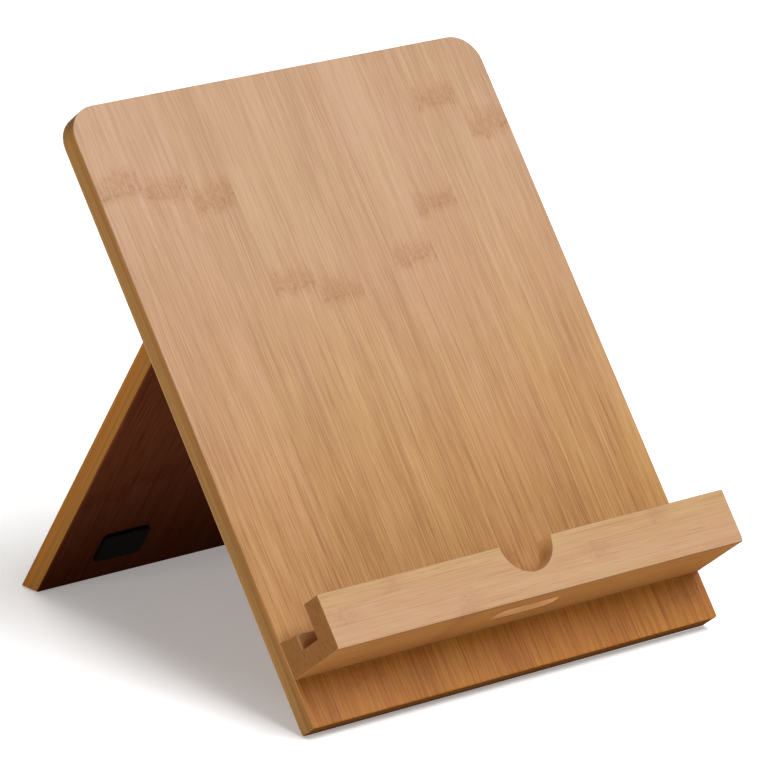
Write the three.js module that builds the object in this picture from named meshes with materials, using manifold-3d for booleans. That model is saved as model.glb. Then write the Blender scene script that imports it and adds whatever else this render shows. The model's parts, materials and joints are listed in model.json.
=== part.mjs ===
// Folding bamboo stand for a phone or small tablet, in millimetres.
// +X to the right, +Y to the back, +Z up. The origin is on the table, under the middle of the stand.
// A tilted board carries a channel ledge near its foot, and a leg on two butt hinges props it from behind.

import * as THREE from 'three';
import { mergeVertices } from 'three/addons/utils/BufferGeometryUtils.js';
import Module from 'manifold-3d';

const wasm = await Module();
wasm.setup();

// ---- Driving dimensions ----

const BOARD_WIDTH = 195;
const BOARD_HEIGHT = 250;
const PANEL = 9; // thickness of the board and of the leg
const BOARD_TOP_RADIUS = 12;
const BOARD_FOOT_RADIUS = 1;
const BOARD_TILT = THREE.MathUtils.degToRad(53.3); // board above the table
const LEG_TILT = THREE.MathUtils.degToRad(55.3); // leg above the table

const LEDGE_UNDERSIDE = 19; // up the board from its foot
const LEDGE_DEPTH = 32; // out from the board's front face
const BASE_THICKNESS = 7.6;
const LIP_TOP = 40.5; // up the board from its foot
const LIP_THICKNESS = 9.9;
const RAIL_DEPTH = 11;
const RAIL_BACK_HEIGHT = 7.4;
const RAIL_FRONT_HEIGHT = 6.2;
const LEDGE_CORNER = 1.2; // rounded lower front corner of the ledge
const NOTCH_RADIUS = 12.1;
const SLOT_LENGTH = 31;
const SLOT_WIDTH = 10;
const SLOT_CORNER = 4.9; // nearly half the slot's width

const LEG_WIDTH = 160;
const HINGE_HEIGHT = 163.4; // pin, up the board from its foot
const HINGE_SPACING = 100;
const HINGE_LENGTH = 25;
const PIN_OFFSET = 1.2; // pin to the board's back, and pin to the leg's inner face
const PIN_RADIUS = 0.7;
const BORE_RADIUS = 0.8;
const KNUCKLE_RADIUS = 1.6;
const KNUCKLE_COUNT = 3;
const KNUCKLE_GAP = 0.2;
const LEAF_THICKNESS = 0.8;
const LEAF_CLEARANCE = 0.2; // leaf to wood
const LEAF_REACH = 11; // pin to the leaf's far edge
const LEAF_SCREW_REACH = 6.4; // pin to the leaf screws
const LEAF_SCREW_SPACING = 15;

const PAD_WIDTH = 22;
const PAD_HEIGHT = 15.5;
const PAD_THICKNESS = 1.6;
const PAD_CORNER = 2;
const PAD_FROM_SIDE = 32; // leg's side edge to the pad's middle
const PAD_FROM_FOOT = 20.8; // leg's inner foot edge to the pad's middle

const GLUE_GAP = 0.1; // glue line, and how deep the seats are cut for it
const STOP_GAP = 0.3; // between the leg's bevelled top and the board's back
const FIT_GAP = 0.3; // round a screw or a knuckle
const OVERCUT = 2; // how far a cutting solid stands out of the surface it cuts

const ROUND_SEGMENTS = 24;
const ARC_STEPS = 8;

const LEDGE_SCREW = { headRadius: 3.2, headDepth: 2.4, shankRadius: 1.6, length: 25, tip: 4 };
const LEAF_SCREW = { headRadius: 1.8, headDepth: 0.9, shankRadius: 0.9, length: 6.5, tip: 1.6 };
const LEDGE_SCREW_PLACES = [-80, -28, 28, 80];

// ---- Worked out from the driving dimensions ----

const FOLD_ANGLE = Math.PI - BOARD_TILT - LEG_TILT; // board to leg when the stand is open
const BASE_TOP = LEDGE_UNDERSIDE + BASE_THICKNESS;
const LEDGE_FRONT = PANEL + LEDGE_DEPTH;
const LIP_BACK = LEDGE_FRONT - LIP_THICKNESS;
const RAIL_FRONT = PANEL + RAIL_DEPTH;
const SLOT_MIDDLE = (RAIL_FRONT + LIP_BACK) / 2;
const KNUCKLE_CLEARANCE = KNUCKLE_RADIUS + FIT_GAP;

// The pin's height above the table fixes how far the leg runs down to its foot.
const PIN_Z = HINGE_HEIGHT * Math.sin(BOARD_TILT) - PIN_OFFSET * Math.cos(BOARD_TILT);
const PIN_Y = HINGE_HEIGHT * Math.cos(BOARD_TILT) + PIN_OFFSET * Math.sin(BOARD_TILT);
const LEG_DROP = (PIN_Z + PIN_OFFSET * Math.cos(LEG_TILT)) / Math.sin(LEG_TILT);
const LEG_FOOT_BEVEL = PANEL / Math.tan(LEG_TILT); // the foot is cut flat to the table

// The leg's top is cut parallel to the board's back, which it rests on when the stand is open.
const LEG_TOP_OUT = PIN_OFFSET - STOP_GAP;
const LEG_TOP_INNER = (LEG_TOP_OUT + PIN_OFFSET * Math.cos(FOLD_ANGLE)) / Math.sin(FOLD_ANGLE);
const LEG_TOP_BEVEL = PANEL / Math.tan(FOLD_ANGLE);

// The stand reaches from the ledge's rounded lower front corner to the leg's outer foot edge.
const CORNER_FORWARD = (LEDGE_FRONT - LEDGE_CORNER) * Math.sin(BOARD_TILT) + LEDGE_CORNER;
const REACH_FRONT = (LEDGE_UNDERSIDE + LEDGE_CORNER) * Math.cos(BOARD_TILT) - CORNER_FORWARD;
const FOOT_Y = PIN_Y + LEG_DROP * Math.cos(LEG_TILT) + PIN_OFFSET * Math.sin(LEG_TILT);
const REACH_BACK = FOOT_Y + PANEL / Math.sin(LEG_TILT);
const BOARD_FOOT_Y = -(REACH_FRONT + REACH_BACK) / 2;

// ---- Materials ----

function finish(color, roughness, metalness) {
  return new THREE.MeshStandardMaterial({ color, roughness, metalness });
}

const boardBamboo = finish(0xc8935c, 0.55, 0);
const ledgeBamboo = finish(0xd2a274, 0.55, 0);
const legBamboo = finish(0xb98148, 0.55, 0);
const hingeBrass = finish(0xb8975a, 0.35, 1);
const screwSteel = finish(0xc2b28a, 0.3, 1);
const padRubber = finish(0x1b1a19, 0.85, 0);

// ---- Solids ----

function toSolid(geometry) {
  const bare = geometry.clone();
  bare.deleteAttribute('normal');
  bare.deleteAttribute('uv');
  const merged = mergeVertices(bare, 1e-4);
  return new wasm.Manifold(new wasm.Mesh({
    numProp: 3,
    vertProperties: new Float32Array(merged.attributes.position.array),
    triVerts: new Uint32Array(merged.index.array),
  }));
}

function toGeometry(solid) {
  const mesh = solid.getMesh();
  const geometry = new THREE.BufferGeometry();
  geometry.setAttribute('position', new THREE.BufferAttribute(mesh.vertProperties, 3));
  geometry.setIndex(new THREE.BufferAttribute(mesh.triVerts, 1));
  const faceted = geometry.toNonIndexed();
  faceted.computeVertexNormals();
  return faceted;
}

function cut(solid, cutters) {
  return cutters.reduce((left, cutter) => left.subtract(toSolid(cutter)), solid);
}

function box(x0, x1, y0, y1, z0, z1) {
  const geometry = new THREE.BoxGeometry(x1 - x0, y1 - y0, z1 - z0);
  return geometry.translate((x0 + x1) / 2, (y0 + y1) / 2, (z0 + z1) / 2);
}

// A round bar along X.
function bar(radius, x0, x1) {
  const geometry = new THREE.CylinderGeometry(radius, radius, x1 - x0, ROUND_SEGMENTS);
  return geometry.rotateZ(Math.PI / 2).translate((x0 + x1) / 2, 0, 0);
}

// A closed outline through corners [x, y, radius], with each corner rounded to its radius.
function outline(corners) {
  const points = [];
  corners.forEach(([x, y, radius = 0], i) => {
    const corner = new THREE.Vector2(x, y);
    if (radius === 0) {
      points.push(corner);
      return;
    }
    const before = corners[(i + corners.length - 1) % corners.length];
    const after = corners[(i + 1) % corners.length];
    const back = new THREE.Vector2(before[0], before[1]).sub(corner).normalize();
    const ahead = new THREE.Vector2(after[0], after[1]).sub(corner).normalize();
    const half = Math.acos(THREE.MathUtils.clamp(back.dot(ahead), -1, 1)) / 2;
    const centre = back.clone().add(ahead).setLength(radius / Math.sin(half)).add(corner);
    const start = back.clone().multiplyScalar(radius / Math.tan(half)).add(corner).sub(centre);
    const end = ahead.clone().multiplyScalar(radius / Math.tan(half)).add(corner).sub(centre);
    const sweep = Math.atan2(start.cross(end), start.dot(end));
    for (let step = 0; step <= ARC_STEPS; step++) {
      const turned = start.clone().rotateAround(new THREE.Vector2(), sweep * step / ARC_STEPS);
      points.push(turned.add(centre));
    }
  });
  return new THREE.Shape(points);
}

function extrude(shape, depth) {
  return new THREE.ExtrudeGeometry(shape, { depth, bevelEnabled: false, curveSegments: ARC_STEPS });
}

// A section drawn as (forward, up the board), run along the whole width of a panel.
function alongWidth(corners, width) {
  return extrude(outline(corners), width).rotateY(-Math.PI / 2).translate(width / 2, 0, 0);
}

// A countersunk wood screw along +Z, its flat head at z = 0.
// With a clearance it is the pocket for that screw, open above the head.
// LatheGeometry turns its profile about Y, so a quarter turn about X lays the screw along Z.
function screw(size, clearance) {
  const head = size.headRadius + clearance;
  const shank = size.shankRadius + clearance;
  const profile = [new THREE.Vector2(0, clearance > 0 ? -OVERCUT : 0)];
  if (clearance > 0) {
    profile.push(new THREE.Vector2(head, -OVERCUT));
  }
  profile.push(
    new THREE.Vector2(head, 0),
    new THREE.Vector2(shank, size.headDepth + clearance),
    new THREE.Vector2(shank, size.length - size.tip),
    new THREE.Vector2(0, size.length + clearance),
  );
  profile.push(profile[0].clone());
  return new THREE.LatheGeometry(profile, ROUND_SEGMENTS).rotateX(Math.PI / 2);
}

// The same screw or pocket with its head at a point, driven towards +Z or -Z.
function screwAt(size, x, y, z, towards, clearance = 0) {
  const geometry = screw(size, clearance);
  if (towards < 0) {
    geometry.rotateX(Math.PI);
  }
  return geometry.translate(x, y, z);
}

function piece(name, geometry, material) {
  const mesh = new THREE.Mesh(geometry, material.clone());
  mesh.name = name;
  return mesh;
}

// ---- Hinges ----

const HINGES = [
  { side: 'left', x: -HINGE_SPACING / 2 },
  { side: 'right', x: HINGE_SPACING / 2 },
];

const KNUCKLE_LENGTH = HINGE_LENGTH / KNUCKLE_COUNT;
const OUTER_KNUCKLES = [[0, 1], [KNUCKLE_COUNT - 1, KNUCKLE_COUNT]];
const MIDDLE_KNUCKLE = [[1, KNUCKLE_COUNT - 1]];

function leafScrewPlaces(hinge) {
  return [
    { hand: 'a', x: hinge.x - LEAF_SCREW_SPACING / 2 },
    { hand: 'b', x: hinge.x + LEAF_SCREW_SPACING / 2 },
  ];
}

// A leaf about a pin on the X axis. It lies below the pin, on the side of the pin that towards gives.
function leaf(hinge, knuckles, towards) {
  const left = hinge.x - HINGE_LENGTH / 2;
  const near = towards * (PIN_OFFSET - LEAF_CLEARANCE);
  const far = near - towards * LEAF_THICKNESS;
  const low = Math.min(near, far);
  const high = Math.max(near, far);
  let solid = toSolid(box(left, left + HINGE_LENGTH, -LEAF_REACH, -KNUCKLE_CLEARANCE, low, high));
  for (const [from, to] of knuckles) {
    const x0 = left + from * KNUCKLE_LENGTH + (from > 0 ? KNUCKLE_GAP / 2 : 0);
    const x1 = left + to * KNUCKLE_LENGTH - (to < KNUCKLE_COUNT ? KNUCKLE_GAP / 2 : 0);
    solid = solid.add(toSolid(box(x0, x1, -KNUCKLE_CLEARANCE - LEAF_CLEARANCE, 0, low, high)));
    solid = solid.add(toSolid(bar(KNUCKLE_RADIUS, x0, x1)));
  }
  const bore = bar(BORE_RADIUS, left - OVERCUT, left + HINGE_LENGTH + OVERCUT);
  const holes = leafScrewPlaces(hinge).map(
    (place) => screwAt(LEAF_SCREW, place.x, -LEAF_SCREW_REACH, far, towards, FIT_GAP),
  );
  return toGeometry(cut(solid, [bore, ...holes]));
}

// Everything a panel loses to its hinges: knuckle room and screw pockets.
function hingeCutters(towards) {
  return HINGES.flatMap((hinge) => {
    const half = HINGE_LENGTH / 2 + FIT_GAP;
    const room = bar(KNUCKLE_CLEARANCE, hinge.x - half, hinge.x + half);
    const head = towards * (PIN_OFFSET - LEAF_CLEARANCE - LEAF_THICKNESS);
    const pockets = leafScrewPlaces(hinge).map(
      (place) => screwAt(LEAF_SCREW, place.x, -LEAF_SCREW_REACH, head, towards, FIT_GAP),
    );
    return [room, ...pockets];
  });
}

function addLeafScrews(group, owner, towards) {
  const head = towards * (PIN_OFFSET - LEAF_CLEARANCE - LEAF_THICKNESS);
  for (const hinge of HINGES) {
    for (const place of leafScrewPlaces(hinge)) {
      const geometry = screwAt(LEAF_SCREW, place.x, -LEAF_SCREW_REACH, head, towards);
      group.add(piece(`${owner}_screw_${hinge.side}_${place.hand}`, geometry, screwSteel));
    }
  }
}

// ---- Board, in its own frame: Y up the board, Z out of its front face, back face at z = 0 ----

// A shallow seat across the whole width, for a piece that is glued there.
function seat(y0, y1, z0, z1) {
  const half = BOARD_WIDTH / 2 + OVERCUT;
  return box(-half, half, y0, y1, z0, z1);
}

function ledgeScrewCutters() {
  const height = (LEDGE_UNDERSIDE + BASE_TOP) / 2;
  return LEDGE_SCREW_PLACES.map((x) => screwAt(LEDGE_SCREW, x, height, 0, 1, FIT_GAP));
}

function mainBoard() {
  const half = BOARD_WIDTH / 2;
  const blank = extrude(outline([
    [-half, 0, BOARD_FOOT_RADIUS],
    [half, 0, BOARD_FOOT_RADIUS],
    [half, BOARD_HEIGHT, BOARD_TOP_RADIUS],
    [-half, BOARD_HEIGHT, BOARD_TOP_RADIUS],
  ]), PANEL);
  const hinges = hingeCutters(1).map((cutter) => cutter.translate(0, HINGE_HEIGHT, -PIN_OFFSET));
  const seatTop = BASE_TOP + RAIL_BACK_HEIGHT + GLUE_GAP;
  const ledgeSeat = seat(LEDGE_UNDERSIDE - GLUE_GAP, seatTop, PANEL - GLUE_GAP, PANEL + OVERCUT);
  return toGeometry(cut(toSolid(blank), [ledgeSeat, ...ledgeScrewCutters(), ...hinges]));
}

function cableSlot() {
  const half = SLOT_LENGTH / 2;
  const side = SLOT_WIDTH / 2;
  const shape = outline([
    [-half, -side, SLOT_CORNER],
    [half, -side, SLOT_CORNER],
    [half, side, SLOT_CORNER],
    [-half, side, SLOT_CORNER],
  ]);
  const geometry = extrude(shape, BASE_THICKNESS + 2 * OVERCUT);
  return geometry.rotateX(Math.PI / 2).translate(0, BASE_TOP + OVERCUT, SLOT_MIDDLE);
}

function ledgeBase() {
  const blank = alongWidth([
    [PANEL, LEDGE_UNDERSIDE],
    [LEDGE_FRONT, LEDGE_UNDERSIDE, LEDGE_CORNER],
    [LEDGE_FRONT, BASE_TOP],
    [PANEL, BASE_TOP],
  ], BOARD_WIDTH);
  const seatFloor = BASE_TOP - GLUE_GAP;
  const railSeat = seat(seatFloor, BASE_TOP + OVERCUT, PANEL - OVERCUT, RAIL_FRONT + GLUE_GAP);
  const lipSeat = seat(seatFloor, BASE_TOP + OVERCUT, LIP_BACK - GLUE_GAP, LEDGE_FRONT + OVERCUT);
  return toGeometry(cut(toSolid(blank), [railSeat, lipSeat, cableSlot(), ...ledgeScrewCutters()]));
}

function ledgeLip() {
  const blank = alongWidth([
    [LIP_BACK, BASE_TOP],
    [LEDGE_FRONT, BASE_TOP],
    [LEDGE_FRONT, LIP_TOP],
    [LIP_BACK, LIP_TOP],
  ], BOARD_WIDTH);
  const notch = new THREE.CylinderGeometry(
    NOTCH_RADIUS, NOTCH_RADIUS, LIP_THICKNESS + 2 * OVERCUT, 2 * ROUND_SEGMENTS,
  );
  notch.rotateX(Math.PI / 2).translate(0, LIP_TOP, (LIP_BACK + LEDGE_FRONT) / 2);
  return toGeometry(cut(toSolid(blank), [notch]));
}

function ledgeBackRail() {
  return alongWidth([
    [PANEL, BASE_TOP],
    [RAIL_FRONT, BASE_TOP],
    [RAIL_FRONT, BASE_TOP + RAIL_FRONT_HEIGHT],
    [PANEL, BASE_TOP + RAIL_BACK_HEIGHT],
  ], BOARD_WIDTH);
}

function boardAssembly() {
  const group = new THREE.Group();
  group.rotation.x = BOARD_TILT;
  group.position.y = BOARD_FOOT_Y;
  group.add(piece('main_board', mainBoard(), boardBamboo));
  group.add(piece('ledge_base', ledgeBase(), ledgeBamboo));
  group.add(piece('ledge_lip', ledgeLip(), ledgeBamboo));
  group.add(piece('ledge_back_rail', ledgeBackRail(), ledgeBamboo));
  const screwHeight = (LEDGE_UNDERSIDE + BASE_TOP) / 2;
  LEDGE_SCREW_PLACES.forEach((x, i) => {
    const geometry = screwAt(LEDGE_SCREW, x, screwHeight, 0, 1);
    group.add(piece(`ledge_screw_${i + 1}`, geometry, screwSteel));
  });

  const pinLine = new THREE.Group();
  pinLine.position.set(0, HINGE_HEIGHT, -PIN_OFFSET);
  for (const hinge of HINGES) {
    const half = HINGE_LENGTH / 2;
    const pin = bar(PIN_RADIUS, hinge.x - half, hinge.x + half);
    pinLine.add(piece(`hinge_${hinge.side}_board_leaf`, leaf(hinge, OUTER_KNUCKLES, 1), hingeBrass));
    pinLine.add(piece(`hinge_${hinge.side}_pin`, pin, hingeBrass));
  }
  addLeafScrews(pinLine, 'board_leaf', 1);
  group.add(pinLine);
  return group;
}

// ---- Leg, in its own frame: pin on the X axis, Y up the leg, Z out of its inner face ----

function supportLeg() {
  const inner = -PIN_OFFSET;
  const outer = -PIN_OFFSET - PANEL;
  const blank = alongWidth([
    [inner, -LEG_DROP],
    [inner, LEG_TOP_INNER],
    [outer, LEG_TOP_INNER + LEG_TOP_BEVEL],
    [outer, -LEG_DROP - LEG_FOOT_BEVEL],
  ], LEG_WIDTH);
  return toGeometry(cut(toSolid(blank), hingeCutters(-1)));
}

function legPad(side) {
  const half = PAD_WIDTH / 2;
  const rise = PAD_HEIGHT / 2;
  const shape = outline([
    [-half, -rise, PAD_CORNER],
    [half, -rise, PAD_CORNER],
    [half, rise, PAD_CORNER],
    [-half, rise, PAD_CORNER],
  ]);
  const x = side * (LEG_WIDTH / 2 - PAD_FROM_SIDE);
  return extrude(shape, PAD_THICKNESS).translate(x, PAD_FROM_FOOT - LEG_DROP, GLUE_GAP - PIN_OFFSET);
}

function legAssembly() {
  const group = new THREE.Group();
  group.rotation.x = Math.PI - LEG_TILT;
  group.position.set(0, BOARD_FOOT_Y + PIN_Y, PIN_Z);
  group.add(piece('support_leg', supportLeg(), legBamboo));
  group.add(piece('leg_pad_left', legPad(-1), padRubber));
  group.add(piece('leg_pad_right', legPad(1), padRubber));
  for (const hinge of HINGES) {
    group.add(piece(`hinge_${hinge.side}_leg_leaf`, leaf(hinge, MIDDLE_KNUCKLE, -1), hingeBrass));
  }
  addLeafScrews(group, 'leg_leaf', -1);
  return group;
}

const stand = new THREE.Group();
stand.add(boardAssembly());
stand.add(legAssembly());

export default stand;
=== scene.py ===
"""A folding bamboo phone and tablet stand: its looks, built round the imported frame. Units are metres."""

import json
import math

import bmesh
import bpy
from mathutils import Matrix, Vector


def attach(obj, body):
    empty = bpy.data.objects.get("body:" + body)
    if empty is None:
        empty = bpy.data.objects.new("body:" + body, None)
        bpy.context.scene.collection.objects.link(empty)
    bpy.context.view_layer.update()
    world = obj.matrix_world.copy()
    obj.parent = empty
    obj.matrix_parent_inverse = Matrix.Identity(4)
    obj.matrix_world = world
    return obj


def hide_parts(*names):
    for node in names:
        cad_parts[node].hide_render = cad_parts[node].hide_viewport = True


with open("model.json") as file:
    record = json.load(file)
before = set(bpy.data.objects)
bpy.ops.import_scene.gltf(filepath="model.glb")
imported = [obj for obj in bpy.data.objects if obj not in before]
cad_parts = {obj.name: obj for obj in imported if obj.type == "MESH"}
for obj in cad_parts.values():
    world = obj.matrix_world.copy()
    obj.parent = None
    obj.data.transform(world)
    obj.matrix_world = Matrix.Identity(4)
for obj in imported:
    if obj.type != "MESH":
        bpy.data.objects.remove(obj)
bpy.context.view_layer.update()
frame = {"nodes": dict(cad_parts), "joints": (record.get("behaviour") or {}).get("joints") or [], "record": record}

MM = 0.001

# ---- The two tilted frames that the pieces are drawn in ----

joint = frame["joints"][0]
mounts = {mount["name"]: mount for mount in frame["record"]["mounts"]}
rest_normal = Vector(mounts["device_rest_face"]["axis"])
BOARD_TILT = math.atan2(-rest_normal.y, rest_normal.z)
FOLD_ANGLE = math.radians(joint["range_deg"][1])
LEG_TILT = math.pi - BOARD_TILT - FOLD_ANGLE


def local_box(node, matrix):
    """A CAD node's lowest and highest corners in a tilted frame."""
    inverse = matrix.inverted()
    points = [inverse @ vertex.co for vertex in frame["nodes"][node].data.vertices]
    low = Vector([min(point[i] for point in points) for i in range(3)])
    high = Vector([max(point[i] for point in points) for i in range(3)])
    return low, high


def board_frame():
    """X across, Y up the board from its foot, Z forward from the board's back face."""
    turn = Matrix.Rotation(BOARD_TILT, 4, "X")
    low, _ = local_box("main_board", turn)
    return turn @ Matrix.Translation((0, low.y, low.z))


def leg_frame():
    """X across, Y up the leg from the hinge pin, Z out of the leg's inner face."""
    return Matrix.Translation(joint["pos_m"]) @ Matrix.Rotation(math.pi - LEG_TILT, 4, "X")


BOARD = board_frame()
LEG = leg_frame()
_, board_high = local_box("main_board", BOARD)
leg_low, leg_high = local_box("support_leg", LEG)
base_low, base_high = local_box("ledge_base", BOARD)
HALF_WIDTH = board_high.x
PANEL = board_high.z  # the thickness of the board and the leg


# ---- Node helpers for the materials ----

GRAIN = "grain"  # the mesh attribute that holds a point's place in its piece's tilted frame


class Nodes:
    """A short way to write a material's node graph."""

    def __init__(self, name):
        self.material = bpy.data.materials.new(name)
        self.material.use_nodes = True
        self.tree = self.material.node_tree
        self.tree.nodes.clear()
        self.shader = self.tree.nodes.new("ShaderNodeBsdfPrincipled")
        output = self.tree.nodes.new("ShaderNodeOutputMaterial")
        self.tree.links.new(self.shader.outputs[0], output.inputs[0])

    def feed(self, value, socket):
        """Links a socket, or sets a plain value."""
        if isinstance(value, bpy.types.NodeSocket):
            self.tree.links.new(value, socket)
        else:
            socket.default_value = value

    def math(self, operation, a, b=0.0, c=0.0):
        node = self.tree.nodes.new("ShaderNodeMath")
        node.operation = operation
        for i, value in enumerate((a, b, c)):
            self.feed(value, node.inputs[i])
        return node.outputs[0]

    def add(self, a, b):
        return self.math("ADD", a, b)

    def times(self, a, b):
        return self.math("MULTIPLY", a, b)

    def total(self, *terms):
        """The sum of value and weight pairs."""
        result = 0.0
        for value, weight in terms:
            result = self.math("MULTIPLY_ADD", value, weight, result)
        return result

    def place(self):
        """The point's place in the piece's tilted frame as three values."""
        attribute = self.tree.nodes.new("ShaderNodeAttribute")
        attribute.attribute_name = GRAIN
        split = self.tree.nodes.new("ShaderNodeSeparateXYZ")
        self.tree.links.new(attribute.outputs["Vector"], split.inputs[0])
        return split.outputs[0], split.outputs[1], split.outputs[2]

    def vector(self, x, y, z):
        node = self.tree.nodes.new("ShaderNodeCombineXYZ")
        for i, value in enumerate((x, y, z)):
            self.feed(value, node.inputs[i])
        return node.outputs[0]

    def scaled(self, place, scales, slip=0.0):
        """A noise vector with its own scale on each axis, slid along the second one."""
        return self.vector(self.times(place[0], scales[0]),
                           self.math("MULTIPLY_ADD", place[1], scales[1], slip),
                           self.times(place[2], scales[2]))

    def noise(self, vector, scale=1.0, detail=3.0, roughness=0.55):
        node = self.tree.nodes.new("ShaderNodeTexNoise")
        node.inputs["Scale"].default_value = scale
        node.inputs["Detail"].default_value = detail
        node.inputs["Roughness"].default_value = roughness
        self.tree.links.new(vector, node.inputs["Vector"])
        return node.outputs["Fac"]

    def random(self, value, seed):
        """An even random number for each value."""
        node = self.tree.nodes.new("ShaderNodeTexWhiteNoise")
        node.noise_dimensions = "2D"
        self.tree.links.new(self.vector(value, seed, 0.0), node.inputs["Vector"])
        return node.outputs["Value"]

    def stretch(self, value, start, end):
        """A mask that rises softly from 0 at the start to 1 at the end. The start may be the higher one."""
        node = self.tree.nodes.new("ShaderNodeMapRange")
        node.interpolation_type = "SMOOTHSTEP"
        for i, v in enumerate((value, start, end)):
            self.feed(v, node.inputs[i])
        return node.outputs[0]

    def inverse(self, mask):
        return self.math("SUBTRACT", 1.0, mask)

    def within(self, place, limits):
        """A mask from limits. Each has an axis, where the mask starts on it, and where it is full."""
        mask = 1.0
        for axis, start, end in limits:
            mask = self.times(mask, self.stretch(place[axis], start, end))
        return mask

    def mix(self, factor, a, b, blend="MIX"):
        node = self.tree.nodes.new("ShaderNodeMix")
        node.data_type = "RGBA"
        node.blend_type = blend
        self.feed(factor, node.inputs[0])
        for color, socket in ((a, node.inputs[6]), (b, node.inputs[7])):
            self.feed(color if isinstance(color, bpy.types.NodeSocket) else (*color, 1), socket)
        return node.outputs[2]

    def ramp(self, factor, stops):
        """A colour for the factor, from stops of a position and a colour."""
        node = self.tree.nodes.new("ShaderNodeValToRGB")
        elements = node.color_ramp.elements
        while len(elements) < len(stops):
            elements.new(0.5)
        for element, (position, color) in zip(elements, stops):
            element.position = position
            element.color = (*color, 1)
        self.tree.links.new(factor, node.inputs[0])
        return node.outputs[0]

    def bump(self, height, distance, strength):
        """Relief on the surface. The distance is how high it stands."""
        node = self.tree.nodes.new("ShaderNodeBump")
        node.inputs["Strength"].default_value = strength
        node.inputs["Distance"].default_value = distance
        self.tree.links.new(height, node.inputs["Height"])
        self.tree.links.new(node.outputs[0], self.shader.inputs["Normal"])


# ---- Bamboo ----

LACQUER, BARE = 0.32, 0.04  # how much lacquered faces and sawn edges shine

# The layers of the grain: noise per metre across and along the fibres, its octaves and its roughness.
LAYERS = {
    "hair": (3600, 60, 2, 0.60),
    "fine": (1800, 20, 3, 0.60),
    "broad": (480, 7, 2, 0.55),
    "cloud": (50, 16, 3, 0.55),
    "patch": (75, 28, 3, 0.65),
    "dash": (1900, 70, 1, 0.55),
}

# The fibres' tone: each layer's weight, the strip's own weight, and how far it all reaches to each side.
FIBRE_WEIGHTS = {"hair": 0.38, "fine": 0.32, "broad": 0.14, "cloud": 0.16}
STRIP_WEIGHT = 0.05
FIBRE_SPREAD = 0.155
MIDDLE_STOP = 0.52  # where the middle tone lies between the pale and the dark one

# The warm and pink drifts, and the dark dashes of the cane's vessels.
WARM, PINK = (1.00, 0.99, 0.88), (1.00, 0.925, 0.97)
DRIFT_PATCH, DRIFT_STRIP, DRIFT_RANGE, DRIFT_DEPTH = 0.72, 0.28, (0.34, 0.66), 0.8
DASH_RANGE, DASH_DEPTH, DASH_SHADE = (0.64, 0.76), 0.36, 0.72
SLIP_SEED, DRIFT_SEED = 7.3, 3.1

# Painted sheen, a paler veil up the board: how uneven its start is, and how much of the pale tone covers the
# fibres.
SHEEN_WAVE, SHEEN_COVER = 40 * MM, 0.42

# A node of the cane, along the fibres from its marked place: a blotch, and a fine line low in it.
NODE_WAVE, WAVE_SCALES = 18 * MM, (110, 60, 110)
BLOTCH_RISE, BLOTCH_FALL = (-7.5 * MM, -1.5 * MM), (9 * MM, 0.5 * MM)
LINE_BELOW, LINE_WIDTH = 2.2 * MM, (1.3 * MM, 0.1 * MM)
SPECK_SCALES, SPECK_RANGE = (900, 420, 900), (0.42, 0.60)
SPECK_DEPTH, BLOTCH_DEPTH = 0.26, 0.17
KNOT_TINT, LINE_SHADE = (0.98, 0.90, 1.25), 0.8

# The glue line between two strips, and the sawn edges.
SEAM_OUT, SEAM_IN, SEAM_SHADE = 0.22 * MM, 0.04 * MM, 0.7
STREAK_SCALES, STREAK_RANGE = (1500, 11, 260), (0.32, 0.70)
DOT_SCALES, DOT_RANGE, DOT_SHADE = (420, 300, 1300), (0.40, 0.70), 0.74
SIDE_START, SIDE_FULL = 0.2 * MM, 0.8 * MM  # from the face
PLY_START, PLY_FULL = 0.38, 0.64  # where one ply passes into the other, as shares of the thickness
FRONT_SHADE, BACK_SHADE = 0.66, 0.70

# The lacquer's roughness, and how high the grain stands.
ROUGHNESS, FINE_ROUGHNESS, DASH_ROUGHNESS = 0.40, 0.14, 0.08
RELIEF = 0.05 * MM


def shade(color, amount):
    return tuple(channel * amount for channel in color)


def cane_nodes(n, index, u, v, w, slip, marks):
    """Masks of the nodes of the cane: a blotch across one strip, and the fine line under it."""
    wave = n.noise(n.scaled((u, v, w), WAVE_SCALES, slip), detail=4, roughness=0.7)
    bent = n.math("MULTIPLY_ADD", wave, NODE_WAVE, v)
    blotch, line = 0.0, 0.0
    for strip, along in marks:
        above = n.math("SUBTRACT", bent, along + NODE_WAVE / 2)
        same = n.math("COMPARE", index, float(strip), 0.4)
        across = n.times(n.stretch(above, *BLOTCH_RISE), n.stretch(above, *BLOTCH_FALL))
        blotch = n.math("MAXIMUM", n.times(across, same), blotch)
        thin = n.stretch(n.math("ABSOLUTE", n.add(above, LINE_BELOW)), *LINE_WIDTH)
        line = n.math("MAXIMUM", n.times(thin, same), line)
    return blotch, line


def sawn_side(n, color, w, side, grain):
    """Covers the narrow sides of a panel with its two plies. Also returns the mask of the sides."""
    front, back, low, thickness = side
    into = n.math("SUBTRACT", w, low)
    from_face = n.math("MINIMUM", into, n.math("SUBTRACT", thickness, into))
    on_side = n.stretch(from_face, SIDE_START, SIDE_FULL)
    ply = n.stretch(into, thickness * PLY_START, thickness * PLY_FULL)
    streak = n.stretch(grain, *STREAK_RANGE)
    front_color = n.mix(streak, front, shade(front, FRONT_SHADE))
    back_color = n.mix(streak, back, shade(back, BACK_SHADE))
    return n.mix(on_side, color, n.mix(ply, back_color, front_color)), on_side


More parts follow.
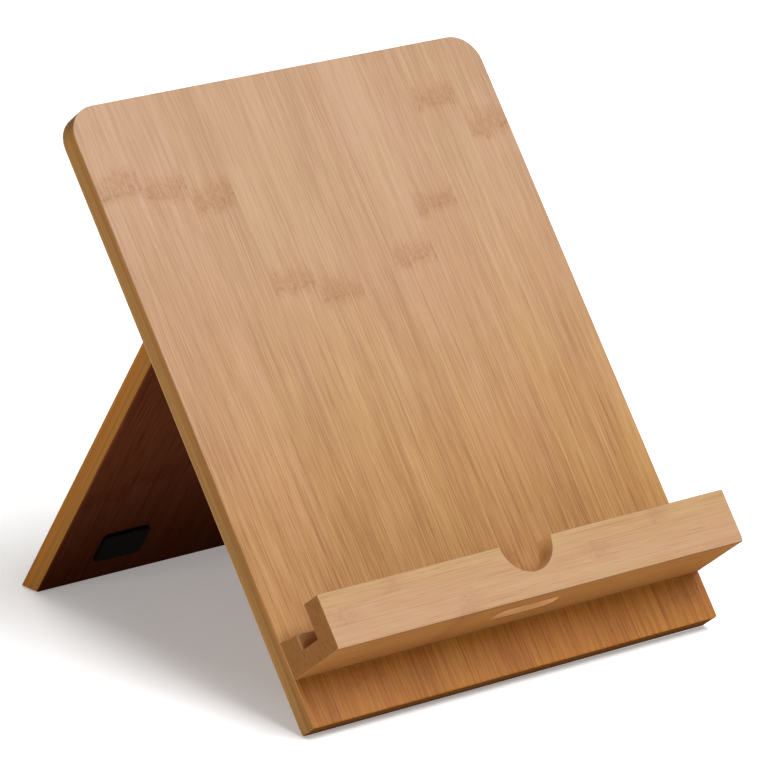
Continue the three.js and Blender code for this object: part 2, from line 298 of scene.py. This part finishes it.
def sawn_end(n, color, v, end, on_side, dots):
    """Covers an end, where the fibres are cut across. Also returns its mask."""
    where, reach, tone = end
    away = n.math("ABSOLUTE", n.math("SUBTRACT", v, where))
    on_end = n.times(n.stretch(away, reach, 0.0), on_side)
    dotted = n.mix(n.stretch(dots, *DOT_RANGE), tone, shade(tone, DOT_SHADE))
    return n.mix(on_end, color, dotted), on_end


def bamboo(name, axes, tones, strips, marks, seed, side=None, ends=(), painted_sheen=None, painted_shading=(), dull=None,
           jump=30.0, seam_depth=0.16, contrast=1.0):
    """Lacquered bamboo.

    axes: which coordinates (0 to 2) run across the strips, along the fibres and through the piece.
    tones: the pale, middle and dark colours of the fibres.
    strips: where strip 0 starts, and how wide a strip is.
    marks: the strip and the place of each node of the cane.
    side: the front and back plies' colours, and where the thickness starts and how much it is.
    ends: where each sawn end is, how far its colour reaches, and the colour.
    painted_sheen: painted sheen, paler up the board in place of reflected light; from where to where along
    the fibres it rises, the limit of its face, the tint of the fibres there, and the pale tone over them.
    painted_shading: painted shade and painted light, as limits and a tint for each. Limits are as in Nodes.within.
    dull: a limit past which the wood doesn't shine.
    jump: how far the fibres are shifted from strip to strip.
    seam_depth: how dark the glue lines between the strips are.
    contrast: how strongly the fibres differ."""
    n = Nodes(name)
    place = n.place()
    u, v, w = (place[axis] for axis in axes)
    pale, middle, dark = tones

    first, strip = strips
    counted = n.math("DIVIDE", n.math("SUBTRACT", u, first), strip)
    index = n.math("FLOOR", counted)
    inside = n.math("FRACT", counted)
    tone = n.random(index, seed)
    slip = n.times(n.random(index, seed + SLIP_SEED), jump)

    # The fibres' own tones.
    layer = {}
    for kind, (across, along, octaves, rough) in LAYERS.items():
        layer[kind] = n.noise(n.scaled((u, v, w), (across, along, across), slip), 1.0, octaves, rough)
    fibres = n.total(*((layer[kind], weight) for kind, weight in FIBRE_WEIGHTS.items()))
    fibres = n.total((fibres, contrast), (tone, STRIP_WEIGHT))
    even = (contrast + STRIP_WEIGHT) / 2
    factor = n.stretch(fibres, even - FIBRE_SPREAD, even + FIBRE_SPREAD)
    color = n.ramp(factor, ((0.0, pale), (MIDDLE_STOP, middle), (1.0, dark)))

    # Warm and pink drifts, which differ from strip to strip.
    drift = n.total((layer["patch"], DRIFT_PATCH), (n.random(index, seed + DRIFT_SEED), DRIFT_STRIP))
    drift_tint = n.mix(n.stretch(drift, *DRIFT_RANGE), WARM, PINK)
    color = n.mix(DRIFT_DEPTH, color, drift_tint, "MULTIPLY")

    dashes = n.stretch(layer["dash"], *DASH_RANGE)
    color = n.mix(n.times(dashes, DASH_DEPTH), color, shade(dark, DASH_SHADE))

    # Painted sheen: the board's front turns paler towards its top, as reflected light would make it.
    if painted_sheen is not None:
        foot, top, surface, tint, sheen_tone = painted_sheen
        up = n.stretch(n.math("MULTIPLY_ADD", layer["patch"], SHEEN_WAVE, v), foot, top)
        there = n.times(up, n.within(place, (surface,)))
        sheened = n.mix(SHEEN_COVER, n.mix(1.0, color, tint, "MULTIPLY"), sheen_tone)
        color = n.mix(there, color, sheened)

    if marks:
        blotch, line = cane_nodes(n, index, u, v, w, slip, marks)
        speckle = n.noise(n.scaled((u, v, w), SPECK_SCALES), detail=3, roughness=0.8)
        specks = n.stretch(speckle, *SPECK_RANGE)
        knot = tuple(channel * tint for channel, tint in zip(dark, KNOT_TINT))
        blotched = n.total((n.times(blotch, specks), SPECK_DEPTH), (blotch, BLOTCH_DEPTH))
        color = n.mix(blotched, color, knot)
        color = n.mix(n.times(n.times(line, specks), SPECK_DEPTH), color, shade(knot, LINE_SHADE))

    from_seam = n.times(n.math("MINIMUM", inside, n.inverse(inside)), strip)
    seam = n.stretch(from_seam, SEAM_OUT, SEAM_IN)
    color = n.mix(n.times(seam, seam_depth), color, shade(dark, SEAM_SHADE))

    # Painted shade and painted light: tints that darken or brighten the wood where shade or light falls.
    for limits, tint in painted_shading:
        color = n.mix(n.within(place, limits), color, tint, "MULTIPLY")

    # The sawn edges lie over all that, and hardly shine.
    on_side, bare = 1.0, 0.0
    if side is not None:
        streaks = n.noise(n.scaled((w, v, u), STREAK_SCALES, slip), detail=3)
        color, on_side = sawn_side(n, color, w, side, streaks)
        bare = on_side
    for end in ends:
        dots = n.noise(n.scaled((u, v, w), DOT_SCALES), detail=4, roughness=0.65)
        color, on_end = sawn_end(n, color, v, end, on_side, dots)
        bare = n.math("MAXIMUM", bare, on_end)

    n.feed(color, n.shader.inputs["Base Color"])
    roughness = n.total((layer["fine"], FINE_ROUGHNESS), (dashes, DASH_ROUGHNESS), (1.0, ROUGHNESS))
    n.feed(roughness, n.shader.inputs["Roughness"])
    shine = n.math("MULTIPLY_ADD", bare, BARE - LACQUER, LACQUER)
    if dull is not None:
        shine = n.times(shine, n.inverse(n.within(place, (dull,))))
    n.feed(shine, n.shader.inputs["Specular IOR Level"])
    relief = n.total((layer["hair"], 0.5), (layer["fine"], 0.8), (dashes, -0.7), (seam, -0.5))
    n.bump(relief, RELIEF, 0.5)
    return n.material


# ---- Metal and rubber ----

def metal(name, color, roughness, brush):
    """Pressed or plated metal with handling smudges and small pits.

    brush: the fine brushing's noise per metre on each axis."""
    n = Nodes(name)
    place = n.place()
    even = n.vector(*place)
    lines = n.noise(n.scaled(place, brush), detail=3)
    smudge = n.noise(even, scale=260, detail=3)
    pits = n.noise(even, scale=2400, detail=2)
    pitted = n.stretch(pits, 0.62, 0.74)
    tone = n.mix(n.stretch(smudge, 0.35, 0.7), color, shade(color, 0.72))
    tone = n.mix(n.times(pitted, 0.4), tone, shade(color, 0.4))
    n.feed(tone, n.shader.inputs["Base Color"])
    n.shader.inputs["Metallic"].default_value = 1.0
    n.feed(n.total((smudge, 0.22), (lines, 0.10), (1.0, roughness)), n.shader.inputs["Roughness"])
    n.bump(n.total((lines, 1.0), (pitted, -0.5)), 0.02 * MM, 0.5)
    return n.material


def rubber(name, color):
    """Matt moulded rubber: a pebbled skin with a little dust."""
    n = Nodes(name)
    even = n.vector(*n.place())
    pebble = n.noise(even, scale=3200, detail=2)
    dust = n.noise(even, scale=420, detail=4)
    dusty = tuple(channel * 2.0 + 0.001 for channel in color)
    n.feed(n.mix(n.stretch(dust, 0.5, 0.75), color, dusty), n.shader.inputs["Base Color"])
    n.feed(n.total((dust, 0.18), (1.0, 0.66)), n.shader.inputs["Roughness"])
    n.shader.inputs["Specular IOR Level"].default_value = BARE
    n.bump(pebble, 0.05 * MM, 0.6)
    return n.material


# ---- The stand's materials ----

# The pale, middle and dark fibres of the board and the leg, and of the ledge.
TONES = (0.436, 0.247, 0.083), (0.368, 0.177, 0.042), (0.242, 0.092, 0.014)
LEDGE_TONES = (0.425, 0.275, 0.149), (0.395, 0.235, 0.114), (0.325, 0.170, 0.068)

# Sawn edges: the ends, and the front and back plies of the sides.
LEDGE_CUT, TOP_CUT, FOOT_CUT = (0.214, 0.085, 0.020), (0.150, 0.050, 0.013), (0.118, 0.050, 0.017)
SIDE_DARK, SIDE_OLIVE = (0.282, 0.124, 0.030), (0.292, 0.146, 0.042)
LEG_OLIVE, LEG_BROWN = (0.281, 0.114, 0.016), (0.297, 0.108, 0.012)

# Painted light and shade: a sheen up the board; shade under the ledge, on the leg's inner face and towards
# its foot, and on the ledge's underside; light inside the ledge and on its slot's wall.
SHEEN_TINT, SHEEN_TONE = (0.99, 1.12, 1.98), (0.430, 0.288, 0.198)
SHADE_UNDER_LEDGE = (0.92, 0.72, 0.37)
LEG_INNER_SHADE, LEG_FOOT_SHADE = (0.29, 0.175, 0.29), (0.40, 0.33, 0.33)
LEDGE_UNDER_SHADE, LEDGE_INSIDE_LIGHT, SLOT_WALL_LIGHT = (0.37, 0.28, 0.18), (1.35, 1.22, 1.00), (1.42, 1.56, 1.70)

# The strips are counted from the middle of the piece, and a place is in the piece's own frame.
STRIP = HALF_WIDTH / 5
BOARD_MARKS = [
    (-5, 0.2165), (-4, 0.2120), (-3, 0.2050), (-2, 0.1665), (-1, 0.1590), (1, 0.1670),
    (2, 0.1850), (3, 0.2265), (4, 0.2130), (0, 0.0430), (-4, 0.0150), (4, 0.0150),
]
LEG_MARKS = [(-4, -0.1050), (-3, -0.0980), (-1, -0.0480), (0, -0.0560), (2, -0.1230), (3, -0.1200)]

# The ledge's strips are counted from the top of its base plank: -1 is the plank.
LEDGE_STRIP = base_high.y - base_low.y
LEDGE_MARKS = [(1, 0.0620), (0, 0.0305), (-1, -0.0345), (0, -0.0880), (1, -0.0640)]

# Limits: the axis, where the mask starts, and where it is full.
BOARD_FRONT = (2, PANEL - 2 * MM, PANEL - 1 * MM)
NOT_BOARD_BACK = (2, 1 * MM, 2 * MM)
BELOW_LEDGE = (1, base_low.y + 4 * MM, base_low.y - 3 * MM)  # starts behind the ledge, out of sight
BOARD_FOOT = (1, 0.6 * MM, 0.1 * MM)
LEG_FACE = (2, leg_high.z - 0.8 * MM, leg_high.z - 0.6 * MM)
TOWARDS_LEG_FOOT = (1, -60 * MM, -160 * MM)
UNDERSIDE = (1, base_low.y + 0.34 * MM, base_low.y + 0.08 * MM)
BEHIND_FRONT = (2, base_high.z - 0.6 * MM, base_high.z - 1.2 * MM)
IN_BASE = (1, base_high.y, base_high.y - 0.4 * MM)

board_wood = bamboo(
    "board_bamboo", (0, 1, 2), TONES, (0.0, STRIP), BOARD_MARKS, 1.7,
    side=(SIDE_DARK, SIDE_OLIVE, 0.0, PANEL),
    ends=((0.0, 0.4 * MM, FOOT_CUT), (board_high.y, 9 * MM, TOP_CUT)),
    # Painted sheen up the board's front, paler towards the top.
    painted_sheen=(30 * MM, 250 * MM, BOARD_FRONT, SHEEN_TINT, SHEEN_TONE),
    # Painted shade on the board's face under the ledge.
    painted_shading=(((BELOW_LEDGE, NOT_BOARD_BACK), SHADE_UNDER_LEDGE),),
    dull=BOARD_FOOT,
)
leg_wood = bamboo(
    "leg_bamboo", (0, 1, 2), TONES, (0.0, STRIP), LEG_MARKS, 5.2,
    side=(LEG_OLIVE, LEG_BROWN, leg_low.z, PANEL),
    # Painted shade: the leg's inner face darker, and darker still towards its foot.
    painted_shading=(((LEG_FACE,), LEG_INNER_SHADE), ((LEG_FACE, TOWARDS_LEG_FOOT), LEG_FOOT_SHADE)),
    dull=LEG_FACE,
)
ledge_wood = bamboo(
    "ledge_bamboo", (1, 0, 2), LEDGE_TONES, (base_high.y, LEDGE_STRIP), LEDGE_MARKS, 3.1,
    ends=((-HALF_WIDTH, 0.3 * MM, LEDGE_CUT), (HALF_WIDTH, 0.3 * MM, LEDGE_CUT)),
    # Painted shade on the ledge's underside, and painted light behind its front face and on the slot's wall.
    painted_shading=(((UNDERSIDE,), LEDGE_UNDER_SHADE), ((BEHIND_FRONT,), LEDGE_INSIDE_LIGHT),
            ((BEHIND_FRONT, IN_BASE), SLOT_WALL_LIGHT)),
    dull=UNDERSIDE, jump=0.0, seam_depth=0.0, contrast=0.8,
)
EVEN_BRUSH, LEAF_BRUSH = (300, 300, 300), (60, 900, 900)
brass = metal("hinge_brass", (0.60, 0.42, 0.18), 0.24, LEAF_BRUSH)
brass_plate = metal("screw_brass", (0.66, 0.49, 0.24), 0.20, EVEN_BRUSH)
zinc_plate = metal("screw_steel", (0.58, 0.56, 0.52), 0.22, EVEN_BRUSH)
black_rubber = rubber("pad_rubber", (0.0022, 0.0018, 0.0015))


# ---- Mesh helpers ----

TOUCH = 0.02 * MM  # points this near count as being in one plane
WELD, TINY_EDGE = 0.004 * MM, 0.003 * MM

# Bends: what still counts as one flat face, what an edge needs to be eased, and what a crease runs on along.
FLAT, HARD_EDGE, SOFT_BEND = math.radians(0.6), math.radians(25), math.radians(6)


def from_node(node, matrix):
    """A CAD node's mesh in a tilted frame, with its flat faces joined up."""
    bm = bmesh.new()
    bm.from_mesh(frame["nodes"][node].data)
    bmesh.ops.transform(bm, matrix=matrix.inverted(), verts=bm.verts)
    bmesh.ops.remove_doubles(bm, verts=bm.verts, dist=WELD)
    bmesh.ops.dissolve_limit(
        bm, angle_limit=FLAT, verts=bm.verts, edges=bm.edges, use_dissolve_boundaries=False,
    )
    return bm


def middle(edge):
    return (edge.verts[0].co + edge.verts[1].co) / 2


def ease(bm, chosen, width, segments=3):
    """Rounds the sharp edges that chosen accepts."""
    edges = [
        edge for edge in bm.edges
        if len(edge.link_faces) == 2 and edge.calc_face_angle(0) > HARD_EDGE and chosen(edge)
    ]
    bmesh.ops.bevel(
        bm, geom=edges, offset=width, segments=segments, profile=0.5, affect="EDGES", clamp_overlap=True,
    )
    bmesh.ops.dissolve_degenerate(bm, dist=TINY_EDGE, edges=bm.edges)


def crease(bm, angle):
    """Marks the sharp edges, and carries each one on through the rounded corner that it runs into."""
    def bend(edge):
        return edge.calc_face_angle(0) if len(edge.link_faces) == 2 else 0

    def sharp_count(vertex):
        return sum(not edge.smooth for edge in vertex.link_edges)

    for edge in bm.edges:
        edge.smooth = bend(edge) <= angle
    ends = [vertex for vertex in bm.verts if sharp_count(vertex) == 1]
    while ends:
        vertex = ends.pop()
        if sharp_count(vertex) != 1:
            continue
        onward = max((edge for edge in vertex.link_edges if edge.smooth), key=bend)
        if bend(onward) > SOFT_BEND:
            onward.smooth = False
            ends.append(onward.other_vert(vertex))


def apply_modifiers(piece):
    bpy.context.view_layer.update()
    evaluated = piece.evaluated_get(bpy.context.evaluated_depsgraph_get())
    mesh = bpy.data.meshes.new_from_object(evaluated)
    piece.modifiers.clear()
    piece.data = mesh


def link(name, mesh):
    piece = bpy.data.objects.new(name, mesh)
    bpy.context.scene.collection.objects.link(piece)
    return piece


def finish_piece(bm, name, matrix, body, node, material, sharp_deg=38):
    """Makes the object, with its place in the tilted frame as an attribute, puts it on its body and hides the CAD
    node it stands in for.
    """
    crease(bm, math.radians(sharp_deg))
    for face in bm.faces:
        face.smooth = True
    mesh = bpy.data.meshes.new(name)
    bm.to_mesh(mesh)
    bm.free()
    grain = mesh.attributes.new(GRAIN, "FLOAT_VECTOR", "POINT")
    for vertex, value in zip(mesh.vertices, grain.data):
        value.vector = vertex.co
    mesh.transform(matrix)
    mesh.materials.append(material)
    piece = link(name, mesh)
    weights = piece.modifiers.new("weights", "WEIGHTED_NORMAL")
    weights.keep_sharp = True
    weights.weight = 80
    apply_modifiers(piece)
    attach(piece, body)
    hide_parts(node)
    return piece


# ---- Wood ----

PANEL_EASE = 0.7 * MM
LEDGE_EASE = 0.45 * MM
GLUE_GAP = 0.1 * MM
CLOSING = 0.9 * GLUE_GAP
LONG_EDGE = 100 * MM
NEAR_RIM = 0.3 * MM  # the CAD's arcs are faceted, so their edges' middles lie a little inside the rim


def main_board():
    """The tilted board, with its outside edges rounded over and its holes left crisp."""
    bm = from_node("main_board", BOARD)
    tops = [vertex.co.x for vertex in bm.verts if board_high.y - vertex.co.y < TOUCH]
    radius = HALF_WIDTH - max(tops)

    def outside(edge):
        m = middle(edge)
        beside = HALF_WIDTH - abs(m.x)
        above = board_high.y - m.y
        corner = math.hypot(max(radius - beside, 0), max(radius - above, 0))
        on_rim = min(beside, above, m.y) < NEAR_RIM or abs(corner - radius) < NEAR_RIM
        level = abs(edge.verts[0].co.z - edge.verts[1].co.z) < TOUCH
        on_face = min(abs(m.z), abs(m.z - PANEL)) < TOUCH
        return level and on_face and on_rim

    ease(bm, outside, PANEL_EASE)
    return finish_piece(bm, "board_panel", BOARD, "board", "main_board", board_wood)


def support_leg():
    """The leg, with its outside edges rounded over."""
    bm = from_node("support_leg", LEG)

    def outside(edge):
        a, b = (vertex.co for vertex in edge.verts)
        on_side = all(leg_high.x - abs(point.x) < TOUCH for point in (a, b))
        return on_side or (a - b).length > LONG_EDGE

    ease(bm, outside, PANEL_EASE)
    return finish_piece(bm, "leg_panel", LEG, "leg", "support_leg", leg_wood)


def ledge_piece(node, name, glued):
    """A piece of the ledge. Its glued sides are closed up to the glue line, and their edges stay crisp."""
    bm = from_node(node, BOARD)
    low, high = local_box(node, BOARD)

    def is_glued(point):
        return (
            ("under" in glued and point.y - low.y < TOUCH)
            or ("over" in glued and high.y - point.y < TOUCH + GLUE_GAP)
            or ("back" in glued and point.z - low.z < TOUCH)
        )

    def free(edge):
        if is_glued(middle(edge)):
            return False
        a, b = (vertex.co for vertex in edge.verts)
        on_end = HALF_WIDTH - abs(middle(edge).x) < TOUCH
        rim = node == "ledge_lip" and abs(a.z - b.z) < TOUCH
        return on_end or rim or (a - b).length > LONG_EDGE

    ease(bm, free, LEDGE_EASE)
    for vertex in bm.verts:
        if "under" in glued and vertex.co.y - low.y < TOUCH:
            vertex.co.y -= CLOSING
        if "back" in glued and vertex.co.z - low.z < TOUCH:
            vertex.co.z -= CLOSING
    return finish_piece(bm, name, BOARD, "board", node, ledge_wood)


main_board()
support_leg()
ledge_piece("ledge_lip", "lip_bar", ("under",))
ledge_piece("ledge_base", "base_plank", ("over", "back"))
ledge_piece("ledge_back_rail", "back_rail", ("under", "back"))


# ---- Pads, hinges and screws ----

PAD_EASE = 0.6 * MM
LEAF_EASE = 0.12 * MM
SHORT_EDGE = 2 * MM

# A cross recess as shares of the head's radius: each arm's reach and half width at its top and its bottom.
ARM_TOP, ARM_BOTTOM = (0.60, 0.11), (0.18, 0.06)
RECESS_DEPTH = 0.62
RECESS_TURN = math.radians(25)
PROUD = 0.3 * MM  # how far the cutter stands out of the head


def leg_pad(side):
    """A stuck-on rubber pad with soft edges round its free face."""
    node = f"leg_pad_{side}"
    bm = from_node(node, LEG)
    _, high = local_box(node, LEG)
    ease(bm, lambda edge: high.z - middle(edge).z < TOUCH, PAD_EASE, 4)
    return finish_piece(bm, f"pad_{side}", LEG, "leg", node, black_rubber)


def hinge_part(node, matrix, body):
    """A leaf or a pin, with the burrs taken off its edges."""
    bm = from_node(node, matrix)
    ease(bm, lambda edge: edge.calc_length() > SHORT_EDGE, LEAF_EASE, 2)
    name = node.replace("hinge_", "butt_")
    return finish_piece(bm, name, matrix, body, node, brass, 32)


def cross_recess(center, radius, out):
    """A tapered cross that is cut into a screw's head. out is the side that the head faces."""
    bm = bmesh.new()
    for quarter in range(2):
        made = bmesh.ops.create_cube(bm, size=1.0)["verts"]
        for vertex in made:
            on_top = vertex.co.z > 0
            reach, half = ARM_TOP if on_top else ARM_BOTTOM
            x = math.copysign(radius * reach, vertex.co.x)
            y = math.copysign(radius * half, vertex.co.y)
            z = PROUD if on_top else -radius * RECESS_DEPTH
            vertex.co = (-y, x, z) if quarter else (x, y, z)
    turn = Matrix.Rotation(RECESS_TURN, 4, "Z")
    if out < 0:
        turn = Matrix.Rotation(math.pi, 4, "X") @ turn
    bmesh.ops.transform(bm, matrix=Matrix.Translation(center) @ turn, verts=bm.verts)
    bmesh.ops.recalc_face_normals(bm, faces=bm.faces)
    mesh = bpy.data.meshes.new("cross")
    bm.to_mesh(mesh)
    bm.free()
    return link("cross", mesh)


def countersunk_screw(node, matrix, body, out, material):
    """A countersunk screw with a cross recess in its head."""
    low, high = local_box(node, matrix)
    center = (low + high) / 2
    center.z = high.z if out > 0 else low.z
    mesh = bpy.data.meshes.new("blank")
    blank = from_node(node, matrix)
    blank.to_mesh(mesh)
    blank.free()
    piece = link("blank", mesh)
    cutter = cross_recess(center, (high.x - low.x) / 2, out)
    cut = piece.modifiers.new("cross", "BOOLEAN")
    cut.object = cutter
    cut.solver = "EXACT"
    cut.use_self = True
    apply_modifiers(piece)
    bm = bmesh.new()
    bm.from_mesh(piece.data)
    bpy.data.objects.remove(piece)
    bpy.data.objects.remove(cutter)
    name = node.replace("screw", "fixing")
    return finish_piece(bm, name, matrix, body, node, material, 30)


for side in ("left", "right"):
    leg_pad(side)
    hinge_part(f"hinge_{side}_board_leaf", BOARD, "board")
    hinge_part(f"hinge_{side}_pin", BOARD, "board")
    hinge_part(f"hinge_{side}_leg_leaf", LEG, "leg")
    for hand in ("a", "b"):
        countersunk_screw(f"board_leaf_screw_{side}_{hand}", BOARD, "board", -1, brass_plate)
        countersunk_screw(f"leg_leaf_screw_{side}_{hand}", LEG, "leg", 1, brass_plate)
for number in range(1, 5):
    countersunk_screw(f"ledge_screw_{number}", BOARD, "board", -1, zinc_plate)


# ---- Floor, light and camera ----

def direction(azimuth, elevation):
    """From the object towards a viewer. Azimuth 0 is the front and 90 is its right-hand side."""
    a, e = math.radians(azimuth), math.radians(elevation)
    return Vector((math.sin(a) * math.cos(e), -math.cos(a) * math.cos(e), math.sin(e)))


def look_back(thing, target, away, distance):
    """Puts a lamp or a camera at a distance from the target, and turns it to face the target."""
    thing.location = Vector(target) + away * distance
    thing.rotation_mode = "QUATERNION"
    thing.rotation_quaternion = (-away).to_track_quat("-Z", "Y")


LIT_POINT = (0, 0, 100 * MM)  # what the lamps face
FLOOR_HALF = 6.0
FLOOR_DROP = 0.2 * MM  # keeps the floor clear of the foot's flat face
FLOOR_GLOW = 0.25


def studio_floor():
    """White paper that gives off a little light of its own, which keeps the shadow pale."""
    half = FLOOR_HALF
    corners = [(-half, -half, 0), (half, -half, 0), (half, half, 0), (-half, half, 0)]
    mesh = bpy.data.meshes.new("floor")
    mesh.from_pydata(corners, [], [(0, 1, 2, 3)])
    n = Nodes("floor_paper")
    coordinates = n.tree.nodes.new("ShaderNodeTexCoord")
    grain = n.noise(coordinates.outputs["Object"], scale=60, detail=2)
    n.feed(n.mix(grain, (0.91, 0.91, 0.91), (0.94, 0.94, 0.94)), n.shader.inputs["Base Color"])
    n.shader.inputs["Roughness"].default_value = 0.9
    n.shader.inputs["Specular IOR Level"].default_value = 0.1
    n.shader.inputs["Emission Color"].default_value = (1, 1, 1, 1)
    n.shader.inputs["Emission Strength"].default_value = FLOOR_GLOW
    mesh.materials.append(n.material)
    floor = link("floor", mesh)
    floor.location.z = -FLOOR_DROP


def soft_box(name, azimuth, elevation, distance, size, power):
    """A square area light that faces the object."""
    data = bpy.data.lights.new(name, "AREA")
    data.size = size
    data.energy = power
    lamp = bpy.data.objects.new(name, data)
    bpy.context.scene.collection.objects.link(lamp)
    look_back(lamp, LIT_POINT, direction(azimuth, elevation), distance)


def surroundings(strength):
    """Even white light from all round."""
    scene = bpy.context.scene
    scene.world = bpy.data.worlds.new("studio")
    scene.world.use_nodes = True
    background = scene.world.node_tree.nodes["Background"]
    background.inputs[0].default_value = (1, 1, 1, 1)
    background.inputs[1].default_value = strength


def camera(azimuth, elevation, distance, target, lens):
    """The photo's view. Its lens is long, so the perspective is weak."""
    data = bpy.data.cameras.new("camera")
    data.lens = lens
    data.sensor_width = 36
    data.clip_start = 0.1
    data.clip_end = 50
    eye = bpy.data.objects.new("camera", data)
    bpy.context.scene.collection.objects.link(eye)
    look_back(eye, target, direction(azimuth, elevation), distance)
    bpy.context.scene.camera = eye


bpy.context.scene.view_settings.view_transform = "Standard"
studio_floor()
surroundings(0.05)

# Each lamp's azimuth, elevation, distance, size and power.
soft_box("key", 15, 56, 4.0, 2.8, 215)
soft_box("side", -94, 3, 3.0, 1.0, 50)
soft_box("low", -28, 4, 3.0, 1.6, 14)
soft_box("back", 165, 38, 4.0, 2.4, 60)

camera(azimuth=-38.65, elevation=17.09, distance=2.2388, target=(0.00783, -0.00346, 0.09469), lens=279.2)
